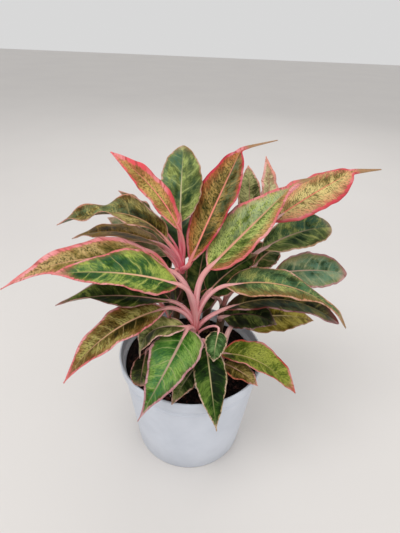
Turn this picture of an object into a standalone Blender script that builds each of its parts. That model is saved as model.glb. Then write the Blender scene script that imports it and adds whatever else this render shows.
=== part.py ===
"""Potted Chinese evergreen (Aglaonema): a plastic pot, its soil, five leafy shoots.

Lengths in the tables are millimetres. The pot's base centre is the origin, +Z is up,
and the plant's front faces -Y. Each shoot is one pink body, its cane with all its
petioles, and each leaf blade is a body of its own at the end of its petiole.
"""
import math

import bmesh
import bpy
import numpy as np

MM = 0.001
EDGE_ANGLE = math.radians(35)
WELD = 0.000001

# Pot
POT_HEIGHT = 118.0
POT_BASE_RADIUS = 58.0
POT_TOP_RADIUS = 71.5
POT_WALL = 2.2
POT_CORNER = 2.0
RIM_RADIUS = 75.0
RIM_HEIGHT = 11.5
RIM_TAPER = 1.2
RIM_EDGE = 1.0
BEAD_DROP = 5.0
BEAD_SIZE = 0.7
POT_STEPS = 48
DRAIN_HOLES = 5
DRAIN_RADIUS = 4.0
DRAIN_CIRCLE = 36.0
DRAIN_SIDES = 16

# Soil
SOIL_LEVEL = 105.0
SOIL_STEPS = 32
SOIL_RINGS = (0, 9, 20, 31, 42, 53, 63)
HEAP = 1.5
HEAP_SPREAD = 0.02
LUMP = 1.1
TOUCH_GAP = 0.5

# Canes
CANE_RADIUS = 5.0
CANE_TOP_RADIUS = 4.2
CANE_DEPTH = 40.0
CANE_RESOLUTION = 3
HOLE_RISE = 20.0

# Leaf blades and petioles
BLADE_THICKNESS = 0.8
CALM_HALF = 8.0
MARGIN_LAG = 1.5
BLADE_BASE_WIDTH = 4.2
BLADE_TIP_WIDTH = 1.2
TAIL_WIDTH = 7.0
TAIL_LEAD = 0.1
ARC_POINTS = 60
PETIOLE_GAP = 1.0
PETIOLE_LEAN = 0.8
LOWER_HANDLE = 0.4
UPPER_HANDLE = 0.3
PETIOLE_SHARE = 0.080
PETIOLE_END_SHARE = 0.048
PETIOLE_POINTS = 6
PETIOLE_RESOLUTION = 1
LOWEST_PETIOLE = 10.0
CROWN_MARGIN = 2.0
PETIOLE_RISE = 8.0
SMALL_WIDTH = 26
LARGE_GRID = (12, 4)
SMALL_GRID = (8, 4)

LEAF_COLOURS = {
    "mature": (0.06, 0.16, 0.05),
    "young": (0.42, 0.20, 0.13),
    "old": (0.16, 0.13, 0.05),
}
YOUNG = ("front_1", "rear_1", "rear_2", "rear_3", "right_1", "back_1", "back_2")
OLD = ("front_9", "front_12", "front_13", "front_17", "side_2")

SHOOTS = {
    "front": {"foot": (2, -10), "crown": (3, -12, 156)},
    "rear": {"foot": (-22, 22), "crown": (-12, 14, 208)},
    "right": {"foot": (26, 16), "crown": (32, 18, 165)},
    "back": {"foot": (14, 44), "crown": (18, 48, 168)},
    "side": {"foot": (28, -18), "crown": (30, -20, 120)},
}


def blade(name, shoot, base, tip, width, arch=14, sway=0, crest=0.5, roll=0, fold=12,
          cup=0.12, waves=3.0, wave=1.6, phase=0.9, widest=0.37, point=1.0,
          tail=None):
    """One leaf blade. Its midrib runs from base to tip in an arc.

    arch and sway are how far the arc stands above and to the right of the chord, and
    crest is where along it. roll turns the blade about its midrib, fold lifts both
    halves off the midrib and cup bends their margins down. waves, wave and phase are
    the count, height and start of the waves along the margins. widest is where the
    blade is widest, point is how fast it narrows from there to its tip, and tail is the
    end of a narrow tail beyond the tip.
    """
    return {"name": name, "shoot": shoot, "base": base, "tip": tip, "width": width,
            "arch": arch, "sway": sway, "crest": crest, "roll": roll, "fold": fold,
            "cup": cup, "waves": waves, "wave": wave, "phase": phase, "widest": widest,
            "point": point, "tail": tail}


BLADES = [
    # Front shoot: long low leaves all round
    blade("front_1", "front", (13, -6, 221), (81, 8, 298), 49, arch=0, roll=-30, fold=26, widest=0.40,
          tail=(101, 15, 303)),
    blade("front_2", "front", (-14, -20, 211.5), (-112, -55, 240), 46, arch=6.5, roll=23, fold=21,
          waves=1.56, wave=4, phase=4.1, widest=0.38, point=1.15),
    blade("front_3", "front", (-23, -1, 214), (-163, -41, 214), 46, arch=21.5, roll=15, fold=18,
          widest=0.33, point=1.45),
    blade("front_4", "front", (30, -15, 209), (130, -32, 195), 36, arch=15, roll=-16, fold=12,
          widest=0.30, point=1.4, tail=(139, -36, 181)),
    blade("front_5", "front", (32, -8, 178), (138, -22, 175), 36, arch=19, roll=-8, fold=17,
          widest=0.48, point=0.65),
    blade("front_6", "front", (-5, -26, 165), (-44.5, -92, 116), 47, arch=16, sway=-8, widest=0.28,
          point=1.6),
    blade("front_7", "front", (-7, -24, 167), (-49, -38, 138), 30, arch=19, roll=0),
    blade("front_8", "front", (14, -35, 153), (25, -88, 101), 31, arch=11, sway=2, widest=0.33,
          point=1.4),
    blade("front_9", "front", (24, -36, 172), (20, -55, 153), 20, arch=6),
    blade("front_10", "front", (-26, -18, 183), (-111, -72, 138), 38, arch=16, roll=9, fold=15,
          widest=0.36, point=1.3),
    blade("front_11", "front", (-22, -10, 186), (-130, -14, 179), 34, arch=9, crest=0.6, roll=3,
          fold=22, waves=1.25, wave=6, phase=3.5),
    blade("front_12", "front", (11, -38, 142), (-16, -77, 121), 24, arch=4),
    blade("front_13", "front", (-42, -5, 148), (-62, -20, 147), 18, arch=4),
    blade("front_14", "front", (-45, 5, 144), (-97, -8, 148), 20, arch=3),
    blade("front_15", "front", (3, 10, 182), (11, 50, 219), 28, arch=5),
    blade("front_16", "front", (14, 1, 190), (59, 8, 230), 38, arch=4, roll=-36),
    blade("front_17", "front", (-45, -22, 131), (-47, -56, 120), 22, arch=3, fold=4, wave=0.6,
          widest=0.62, point=0.45),
    # Rear shoot: young upright leaves, then the arching ones at the left and back
    blade("rear_1", "rear", (-14, 6, 252), (-72, 9, 320), 23, arch=7, roll=40, widest=0.45),
    blade("rear_2", "rear", (-15, 19, 255), (-14, 54, 316), 39, arch=5, widest=0.48, point=0.67),
    blade("rear_3", "rear", (-4, 6, 220), (37, 40, 316), 45, arch=3, sway=2, roll=-5, fold=20,
          widest=0.53, point=0.6, tail=(71, 50, 325)),
    blade("rear_4", "rear", (-35, 25, 228), (-123, 37, 224), 38, arch=11, roll=-4, widest=0.42,
          point=0.85),
    blade("rear_5", "rear", (-26, 27, 215), (-92, 64, 236), 40, arch=5, roll=16),
    blade("rear_6", "rear", (-27, 11, 240), (-134, 32, 241), 38, arch=21, crest=0.3, roll=8, fold=26,
          waves=2.6, wave=5, phase=1.4),
    blade("rear_7", "rear", (-40, 27, 254), (-76, 51, 271), 17, arch=2),
    blade("rear_8", "rear", (-14, 34, 205), (-30, 122, 208), 42, arch=22),
    blade("rear_9", "rear", (-28, 32, 190), (-88, 92, 188), 40, arch=18),
    blade("rear_10", "rear", (-18, 44, 165), (-22, 122, 128), 38, arch=16),
    blade("rear_11", "rear", (-40, 34, 155), (-92, 74, 120), 34, arch=14),
    blade("rear_12", "rear", (-18, 10, 207), (-24, 5, 155), 31, arch=3),
    # Right shoot
    blade("right_1", "right", (69, 17, 260), (139, 35, 303), 38, arch=2, roll=-25, fold=0, widest=0.57,
          point=0.5, tail=(167, 40, 305)),
    blade("right_2", "right", (64, 18, 230), (136, 48, 242), 37, arch=6, roll=-34, widest=0.55,
          point=0.55),
    blade("right_3", "right", (78, 12, 207), (155, 28, 200), 38, arch=4, roll=-40, widest=0.5,
          point=0.7),
    blade("right_4", "right", (59, 21, 209), (90, 54, 212), 29, arch=6, roll=-30),
    blade("right_5", "right", (31, 1, 161), (84, -5, 158), 38, arch=8, roll=-22),
    blade("right_6", "right", (24, 32, 162), (-13, 30, 157), 37, arch=4, roll=50, widest=0.5,
          point=0.6),
    # Back shoot
    blade("back_1", "back", (53, 56, 234), (50, 76, 293), 24, arch=6, roll=8, widest=0.5),
    blade("back_2", "back", (76, 70, 243), (69, 90, 299), 22, arch=4, widest=0.3),
    blade("back_3", "back", (24, 62, 190), (56, 124, 192), 42, arch=20),
    blade("back_4", "back", (42, 54, 185), (98, 104, 172), 40, arch=18),
    blade("back_5", "back", (34, 64, 150), (62, 116, 122), 36, arch=12),
    # Small side shoot, low at the right
    blade("side_1", "side", (31, -22, 133), (97, -62, 124), 38, arch=12, sway=-2, roll=-5, fold=30),
    blade("side_2", "side", (30, -36, 134), (61, -63, 133), 26, arch=4),
    blade("side_3", "side", (46, 0, 155), (129, 20, 145), 41, arch=8, roll=-20),
]


def unit(v):
    v = np.asarray(v, float)
    return v / np.linalg.norm(v)


def arc(start, control, end, count):
    """Points along a quadratic arc that starts towards control."""
    t = np.linspace(0.0, 1.0, count)[:, None]
    start, control, end = (np.asarray(p, float) for p in (start, control, end))
    return (1 - t) ** 2 * start + 2 * t * (1 - t) * control + t ** 2 * end


def midrib(leaf, count):
    """Evenly spaced points from a blade's base to its tip, and the tail's share."""
    base = np.array(leaf["base"], float)
    tip = np.array(leaf["tip"], float)
    chord = unit(tip - base)
    right = unit(np.cross(chord, (0, 0, 1)))
    above = np.cross(right, chord)
    control = base + (tip - base) * leaf["crest"]
    control = control + 2 * leaf["arch"] * above + 2 * leaf["sway"] * right
    line = arc(base, control, tip, ARC_POINTS)
    tail_share = 0.0
    if leaf["tail"]:
        end = np.array(leaf["tail"], float)
        onward = unit(tip - control) * np.linalg.norm(end - tip) * TAIL_LEAD
        body = np.linalg.norm(np.diff(line, axis=0), axis=1).sum()
        tail = arc(tip, tip + onward, end, ARC_POINTS // 3)
        length = np.linalg.norm(np.diff(tail, axis=0), axis=1).sum()
        tail_share = length / (body + length)
        line = np.vstack([line, tail[1:]])
    run = np.concatenate([[0], np.cumsum(np.linalg.norm(np.diff(line, axis=0), axis=1))])
    share = np.linspace(0, 1, count + 1)
    points = [np.interp(share * run[-1], run, line[:, axis]) for axis in range(3)]
    return share, np.stack(points, axis=1), tail_share


def half_width(leaf, share, tail_share):
    """Half the blade's width along its midrib: a round base and a long point."""
    body = np.clip(share / (1 - tail_share), 0, 1)
    fall = leaf["point"]
    rise = fall * leaf["widest"] / (1 - leaf["widest"])
    outline = (body / leaf["widest"]) ** rise * ((1 - body) / (1 - leaf["widest"])) ** fall
    slimmest = BLADE_BASE_WIDTH + (BLADE_TIP_WIDTH - BLADE_BASE_WIDTH) * share
    if leaf["tail"]:
        onward = np.clip((1 - share) / tail_share, 0, 1)
        slimmest = np.maximum(slimmest, BLADE_TIP_WIDTH + (TAIL_WIDTH - BLADE_TIP_WIDTH) * onward)
    return np.maximum(leaf["width"] * outline, slimmest) / 2


def blade_points(leaf, along, across):
    """The blade's middle surface as a grid of points, (along + 1) by (across + 1)."""
    share, line, tail_share = midrib(leaf, along)
    half = half_width(leaf, share, tail_share)
    forward = np.gradient(line, axis=0)
    forward /= np.linalg.norm(forward, axis=1)[:, None]
    right = np.cross(forward, (0, 0, 1))
    right /= np.linalg.norm(right, axis=1)[:, None]
    up = np.cross(right, forward)
    turn = math.radians(leaf["roll"])
    side = math.cos(turn) * right + math.sin(turn) * up
    face = math.cos(turn) * up - math.sin(turn) * right
    fold = math.radians(leaf["fold"])
    grid = []
    for place in np.linspace(-1, 1, across + 1):
        out = half * place * math.cos(fold)
        lift = half * (abs(place) * math.sin(fold) - leaf["cup"] * place ** 2)
        start = leaf["phase"] - (0 if place > 0 else MARGIN_LAG)
        swell = np.sin(2 * math.pi * leaf["waves"] * share + start)
        calm = np.minimum(1, 4 * share * (1 - share)) * np.minimum(1, half / CALM_HALF)
        lift = lift + leaf["wave"] * swell * calm * place ** 2
        grid.append(line + side * out[:, None] + face * lift[:, None])
    return np.stack(grid, axis=1)




def material(name, colour, roughness):
    made = bpy.data.materials.new(name)
    made.use_nodes = True
    shader = made.node_tree.nodes["Principled BSDF"]
    shader.inputs["Base Color"].default_value = (*colour, 1)
    shader.inputs["Roughness"].default_value = roughness
    shader.inputs["Metallic"].default_value = 0
    made.diffuse_color = (*colour, 1)
    return made


def add(name, mesh, group, finish=None):
    thing = bpy.data.objects.new(name, mesh)
    group.objects.link(thing)
    if finish:
        mesh.materials.append(finish)
    return thing


def smooth(mesh):
    """Round faces shaded smooth, edges sharper than EDGE_ANGLE kept crisp."""
    mesh.shade_smooth()
    mesh.set_sharp_from_angle(angle=EDGE_ANGLE)


def as_cutter(thing):
    thing.hide_render = True
    thing.display_type = "WIRE"
    return thing


def evaluated_mesh(thing):
    """The thing's mesh with its modifiers, or its curve's tube, worked out."""
    bpy.context.view_layer.update()
    graph = bpy.context.evaluated_depsgraph_get()
    return bpy.data.meshes.new_from_object(thing.evaluated_get(graph))


def turned(name, profile, steps, group):
    """The mesh of a solid turned about Z from (radius, height) points in millimetres."""
    mesh = bpy.data.meshes.new(name)
    shape = bmesh.new()
    points = [shape.verts.new((radius * MM, 0, height * MM)) for radius, height in profile]
    for first, second in zip(points, points[1:]):
        shape.edges.new((first, second))
    shape.to_mesh(mesh)
    shape.free()
    thing = add(name, mesh, group)
    screw = thing.modifiers.new("Turn", "SCREW")
    screw.steps = steps
    screw.render_steps = steps
    screw.use_merge_vertices = True
    screw.merge_threshold = 10 * WELD
    whole = evaluated_mesh(thing)
    bpy.data.objects.remove(thing)
    smooth(whole)
    return whole


def tube(name, points, radii, resolution, group):
    """A round bar through points in millimetres, its caps filled and welded."""
    curve = bpy.data.curves.new(name, "CURVE")
    curve.dimensions = "3D"
    curve.bevel_depth = MM
    curve.bevel_resolution = resolution
    curve.use_fill_caps = True
    spline = curve.splines.new("POLY")
    spline.points.add(len(points) - 1)
    for place, point, radius in zip(spline.points, points, radii):
        place.co = (*(np.asarray(point) * MM), 1)
        place.radius = radius
    guide = add(name + "_curve", curve, group)
    mesh = evaluated_mesh(guide)
    bpy.data.objects.remove(guide)
    shape = bmesh.new()
    shape.from_mesh(mesh)
    bmesh.ops.remove_doubles(shape, verts=shape.verts, dist=WELD)
    bmesh.ops.recalc_face_normals(shape, faces=shape.faces)
    shape.to_mesh(mesh)
    shape.free()
    return add(name, mesh, group)


def wall_radius(height):
    """The radius of the pot's tapered wall, outside, at a height."""
    slope = (POT_TOP_RADIUS - POT_BASE_RADIUS) / (POT_HEIGHT - RIM_HEIGHT)
    return POT_BASE_RADIUS + slope * height


def make_pot(group, cutters, finish):
    floor = POT_WALL
    corner = floor + POT_CORNER
    under_rim = POT_HEIGHT - RIM_HEIGHT
    bead = under_rim - BEAD_DROP
    rim_inside = RIM_RADIUS - POT_WALL
    profile = [
        (0, floor),
        (wall_radius(0) - POT_WALL - POT_CORNER, floor),
        (wall_radius(corner) - POT_WALL, corner),
        (wall_radius(under_rim) - POT_WALL, under_rim),
        (rim_inside - RIM_EDGE, POT_HEIGHT - RIM_EDGE),
        (rim_inside, POT_HEIGHT),
        (RIM_RADIUS - RIM_EDGE, POT_HEIGHT),
        (RIM_RADIUS, POT_HEIGHT - RIM_EDGE),
        (RIM_RADIUS - RIM_TAPER / 2, under_rim + RIM_TAPER / 2),
        (RIM_RADIUS - RIM_TAPER, under_rim),
        (wall_radius(under_rim), under_rim),
        (wall_radius(bead + 1), bead + 1),
        (wall_radius(bead) + BEAD_SIZE, bead),
        (wall_radius(bead - 1), bead - 1),
        (wall_radius(POT_CORNER), POT_CORNER),
        (wall_radius(0) - POT_CORNER, 0),
        (0, 0),
    ]
    pot = add("pot", turned("pot_blank", profile, POT_STEPS, cutters), group, finish)
    for index in range(DRAIN_HOLES):
        angle = 2 * math.pi * index / DRAIN_HOLES
        shape = bmesh.new()
        bmesh.ops.create_cone(shape, cap_ends=True, segments=DRAIN_SIDES,
                              depth=4 * POT_WALL * MM,
                              radius1=DRAIN_RADIUS * MM, radius2=DRAIN_RADIUS * MM)
        mesh = bpy.data.meshes.new("drain")
        shape.to_mesh(mesh)
        shape.free()
        drain = as_cutter(add(f"drain_{index + 1}", mesh, cutters))
        drain.location = (DRAIN_CIRCLE * math.cos(angle) * MM,
                          DRAIN_CIRCLE * math.sin(angle) * MM, 0)
        cut = pot.modifiers.new("Drain", "BOOLEAN")
        cut.operation = "DIFFERENCE"
        cut.solver = "EXACT"
        cut.object = drain
    return pot


def cane_points(shoot):
    """The cane's straight axis, from its foot in the soil up to its crown."""
    foot = np.array((*shoot["foot"], SOIL_LEVEL), float)
    crown = np.array(shoot["crown"], float)
    down = unit(foot - crown)
    return foot + down * CANE_DEPTH, crown


def soil_top(x, y):
    """The height of the loose, slightly heaped soil."""
    heap = HEAP * math.cos(HEAP_SPREAD * math.hypot(x, y))
    lumps = LUMP * math.sin(0.13 * x + 1) * math.sin(0.11 * y + 2)
    return SOIL_LEVEL + heap + lumps


def make_soil(group, cutters, finish):
    inset = POT_WALL + TOUCH_GAP
    corner = inset + POT_CORNER
    profile = [(radius, SOIL_LEVEL) for radius in SOIL_RINGS] + [
        (wall_radius(SOIL_LEVEL) - inset, SOIL_LEVEL),
        (wall_radius(corner) - inset, corner),
        (wall_radius(0) - inset - POT_CORNER, inset),
        (0, inset),
    ]
    mesh = turned("soil_blank", profile, SOIL_STEPS, cutters)
    for vertex in mesh.vertices:
        if vertex.co.z > (SOIL_LEVEL - 1) * MM:
            vertex.co.z = soil_top(vertex.co.x / MM, vertex.co.y / MM) * MM
    soil = add("soil", mesh, group, finish)
    for name, shoot in SHOOTS.items():
        bottom, crown = cane_points(shoot)
        up = unit(crown - bottom)
        ends = [bottom - up * TOUCH_GAP, bottom + up * (CANE_DEPTH + HOLE_RISE)]
        hole = tube(f"hole_{name}", ends, [CANE_RADIUS + TOUCH_GAP] * 2, CANE_RESOLUTION,
                    cutters)
        cut = soil.modifiers.new("Hole", "BOOLEAN")
        cut.operation = "DIFFERENCE"
        cut.solver = "EXACT"
        cut.object = as_cutter(hole)
    return soil


def petiole_points(leaf, count=PETIOLE_POINTS):
    """A petiole's bend, from inside its cane to just short of its blade."""
    bottom, crown = cane_points(SHOOTS[leaf["shoot"]])
    _, line, _ = midrib(leaf, ARC_POINTS)
    base = line[0]
    onward = unit(line[1] - line[0])
    reach = math.hypot(base[0] - crown[0], base[1] - crown[1])
    height = min(crown[2] - CROWN_MARGIN, base[2] - PETIOLE_LEAN * reach - PETIOLE_RISE)
    height = max(height, SOIL_LEVEL + LOWEST_PETIOLE)
    up = unit(crown - bottom)
    start = bottom + up * (height - bottom[2]) / up[2]
    end = base - onward * PETIOLE_GAP
    span = np.linalg.norm(end - start)
    handles = (start, start + up * span * LOWER_HANDLE, end - onward * span * UPPER_HANDLE, end)
    t = np.linspace(0, 1, count)[:, None]
    weights = ((1 - t) ** 3, 3 * t * (1 - t) ** 2, 3 * t ** 2 * (1 - t), t ** 3)
    return sum(weight * handle for weight, handle in zip(weights, handles))


def make_shoot(name, shoot, group, cutters, finish):
    """A cane and its petioles as one body."""
    bottom, crown = cane_points(shoot)
    cane = tube(f"cane_{name}", [bottom, bottom + (crown - bottom) * 0.6, crown],
                [CANE_RADIUS, CANE_RADIUS, CANE_TOP_RADIUS], CANE_RESOLUTION, cutters)
    petioles = bpy.data.collections.new(f"petioles_{name}")
    cutters.children.link(petioles)
    for leaf in BLADES:
        if leaf["shoot"] == name:
            radii = leaf["width"] * np.linspace(PETIOLE_SHARE, PETIOLE_END_SHARE, PETIOLE_POINTS)
            tube(f"petiole_{leaf['name']}", petiole_points(leaf), radii,
                 PETIOLE_RESOLUTION, petioles)
    join = cane.modifiers.new("Join", "BOOLEAN")
    join.operation = "UNION"
    join.solver = "EXACT"
    join.operand_type = "COLLECTION"
    join.collection = petioles
    mesh = evaluated_mesh(cane)
    smooth(mesh)
    whole = add(f"shoot_{name}", mesh, group, finish)
    for spare in [cane, *petioles.objects]:
        bpy.data.objects.remove(spare)
    bpy.data.collections.remove(petioles)
    return whole


def age_of(leaf):
    if leaf["name"] in YOUNG:
        return "young"
    return "old" if leaf["name"] in OLD else "mature"


def make_blade(leaf, group, finish):
    """A blade: a grid shaped by the leaf's formula, then given its thickness."""
    along, across = (LARGE_GRID if leaf["width"] > SMALL_WIDTH else SMALL_GRID)
    shape = bmesh.new()
    bmesh.ops.create_grid(shape, x_segments=along, y_segments=across, size=1)
    points = blade_points(leaf, along, across) * MM
    for vertex in shape.verts:
        step = round((vertex.co.x + 1) / 2 * along)
        rib = round((vertex.co.y + 1) / 2 * across)
        vertex.co = points[step, across - rib]
    bmesh.ops.triangulate(shape, faces=shape.faces, quad_method="FIXED")
    mesh = bpy.data.meshes.new(leaf["name"])
    shape.to_mesh(mesh)
    shape.free()
    mesh.shade_smooth()
    thing = add(f"leaf_{leaf['name']}", mesh, group, finish)
    wall = thing.modifiers.new("Thickness", "SOLIDIFY")
    wall.thickness = BLADE_THICKNESS * MM
    wall.offset = 0
    return thing


def main():
    for thing in list(bpy.data.objects):
        bpy.data.objects.remove(thing)
    group = bpy.data.collections.new("potted_chinese_evergreen")
    cutters = bpy.data.collections.new("cutters")
    bpy.context.scene.collection.children.link(group)
    bpy.context.scene.collection.children.link(cutters)
    make_pot(group, cutters, material("white_plastic", (0.75, 0.78, 0.84), 0.4))
    make_soil(group, cutters, material("soil", (0.02, 0.013, 0.009), 0.95))
    pink = material("pink_stem", (0.75, 0.32, 0.30), 0.45)
    for name, shoot in SHOOTS.items():
        make_shoot(name, shoot, group, cutters, pink)
    finishes = {age: material(f"leaf_{age}", colour, 0.4)
                for age, colour in LEAF_COLOURS.items()}
    for leaf in BLADES:
        make_blade(leaf, group, finishes[age_of(leaf)])


main()
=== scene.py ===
"""The looks of the potted Chinese evergreen: fine leaf blades, stems, potting mix and pot.

Lengths in the tables are millimetres, as in the part's own source. Every leaf row below
repeats that source's row, so a fine blade lies along the plain one that it replaces.
"""

import math
import random

import bmesh
import bpy
import numpy as np
from mathutils import Matrix, Vector, noise


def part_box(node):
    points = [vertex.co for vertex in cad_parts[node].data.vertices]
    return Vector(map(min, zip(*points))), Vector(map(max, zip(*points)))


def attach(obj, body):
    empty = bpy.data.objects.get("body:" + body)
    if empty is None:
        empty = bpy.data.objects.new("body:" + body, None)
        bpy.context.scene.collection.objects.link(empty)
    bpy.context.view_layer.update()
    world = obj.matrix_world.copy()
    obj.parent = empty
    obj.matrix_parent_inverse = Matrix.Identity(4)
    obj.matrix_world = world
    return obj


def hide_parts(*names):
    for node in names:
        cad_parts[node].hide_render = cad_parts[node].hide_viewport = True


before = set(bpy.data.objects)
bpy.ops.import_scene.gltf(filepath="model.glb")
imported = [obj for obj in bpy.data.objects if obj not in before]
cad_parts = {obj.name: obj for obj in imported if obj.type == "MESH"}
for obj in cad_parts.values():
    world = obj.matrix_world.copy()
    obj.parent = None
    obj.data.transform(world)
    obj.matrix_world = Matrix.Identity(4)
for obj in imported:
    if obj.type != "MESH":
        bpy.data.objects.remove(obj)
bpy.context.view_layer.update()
bpy.ops.object.select_all(action="DESELECT")

MM = 0.001

# Pot and soil
POT_LOW, POT_HIGH = (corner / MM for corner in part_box("pot"))
POT_HEIGHT = POT_HIGH.z
RIM_RADIUS = (POT_HIGH.x - POT_LOW.x) / 2
POT_BASE_RADIUS = 58.0
POT_TOP_RADIUS = 71.5
POT_WALL = 2.2
RIM_HEIGHT = 11.5
UNDER_RIM = POT_HEIGHT - RIM_HEIGHT
WALL_SLOPE = (POT_TOP_RADIUS - POT_BASE_RADIUS) / UNDER_RIM
BEAD_DROPS = (9.0, 5.5)
BEAD_HEIGHT = 0.45
POT_SIDES = 128
DRAIN_HOLES = 5
DRAIN_RADIUS = 4.0
DRAIN_CIRCLE = 36.0
SOIL_LEVEL = 105.0
SOIL_FLOOR = 3.0
SOIL_GAP = 0.5
SOIL_SIDES = 96
SOIL_RINGS = 44
GRAIN_REACH = 62.0
GRAIN_SINK = 0.3

# Canes and petioles
CANE_RADIUS = 5.0
CANE_TOP_RADIUS = 4.2
CANE_DEPTH = 40.0
CANE_STEPS = 60
SCAR_SPACING = 9.0
SCAR_DEPTH = 0.35
SCAR_WIDTH = 0.7
PETIOLE_GAP = 1.0
PETIOLE_LEAN = 0.8
LOWER_HANDLE = 0.4
UPPER_HANDLE = 0.3
PETIOLE_SHARE = 0.080
PETIOLE_END_SHARE = 0.048
PETIOLE_STEPS = 26
LOWEST_PETIOLE = 10.0
STEM_SIDES = 20
CHANNEL_WIDTH = 0.55

# Blades
BLADE_BASE_WIDTH = 4.2
BLADE_TIP_WIDTH = 1.2
TAIL_WIDTH = 7.0
TAIL_LEAD = 0.1
ARC_POINTS = 60
CALM_HALF = 8.0
MARGIN_LAG = 1.5
BLADE_EDGE = 0.30
BLADE_BODY = 0.55
SMALL_WIDTH = 26
LARGE_GRID = (76, 24)
SMALL_GRID = (48, 16)
CROWDING = 1.4
DIP_DEPTH, DIPS = 0.02, 31
NICK_DEPTH, NICKS = 0.015, 57
RUFFLE_HEIGHT = 0.55
RUFFLE_LENGTHS = (5.2, 13.0)
RIB_DEPTH = 1.7
RIB_WIDTH = 1.4
GROOVE_DEPTH = 0.8
GROOVE_WIDTH = 1.5
VEIN_SPACING = 13.0
VEIN_LEAN = 0.45
VEIN_CURL = 0.020
QUILT_HEIGHT = 0.28
QUILT_START = 4.0
LEAF_CONTRAST = 1.14
LEAF_GAIN = 1.27

# Studio, in metres and degrees: each light's place, aim, size and power, and the camera's
# turn to the right, tilt down and roll
LIGHTS = {
    "key": ((-0.5, -0.5, 1.5), (0, 0, 0.15), 0.9, 11.0),
    "fill": ((0.9, -0.9, 1.0), (0, 0, 0.15), 1.2, 3.0),
    "back": ((0.3, 1.3, 1.2), (0, 0, 0.2), 1.2, 5.0),
}
WORLD_GREY = 0.80
WORLD_STRENGTH = 0.86
CAMERA_PLACE = (0, -0.327, 0.414)
CAMERA_TURN = (0.9, 30.8, 2.5)
CAMERA_LENS = 27.69

SHOOTS = {
    "front": {"foot": (2, -10), "crown": (3, -12, 156)},
    "rear": {"foot": (-22, 22), "crown": (-12, 14, 208)},
    "right": {"foot": (26, 16), "crown": (32, 18, 165)},
    "back": {"foot": (14, 44), "crown": (18, 48, 168)},
    "side": {"foot": (28, -18), "crown": (30, -20, 120)},
}


def blade(name, shoot, base, tip, width, arch=14, sway=0, crest=0.5, roll=0, fold=12,
          cup=0.12, waves=3.0, wave=1.6, phase=0.9, widest=0.37, point=1.0,
          tail=None):
    """One leaf blade. Its midrib runs from base to tip in an arc.

    arch and sway are how far the arc stands above and to the right of the chord, and
    crest is where along it. roll turns the blade about its midrib, fold lifts both
    halves off the midrib and cup bends their margins down. waves, wave and phase are
    the count, height and start of the waves along the margins. widest is where the
    blade is widest, point is how fast it narrows from there to its tip, and tail is the
    end of a narrow tail beyond the tip.
    """
    return {"name": name, "shoot": shoot, "base": base, "tip": tip, "width": width,
            "arch": arch, "sway": sway, "crest": crest, "roll": roll, "fold": fold,
            "cup": cup, "waves": waves, "wave": wave, "phase": phase, "widest": widest,
            "point": point, "tail": tail}


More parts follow.
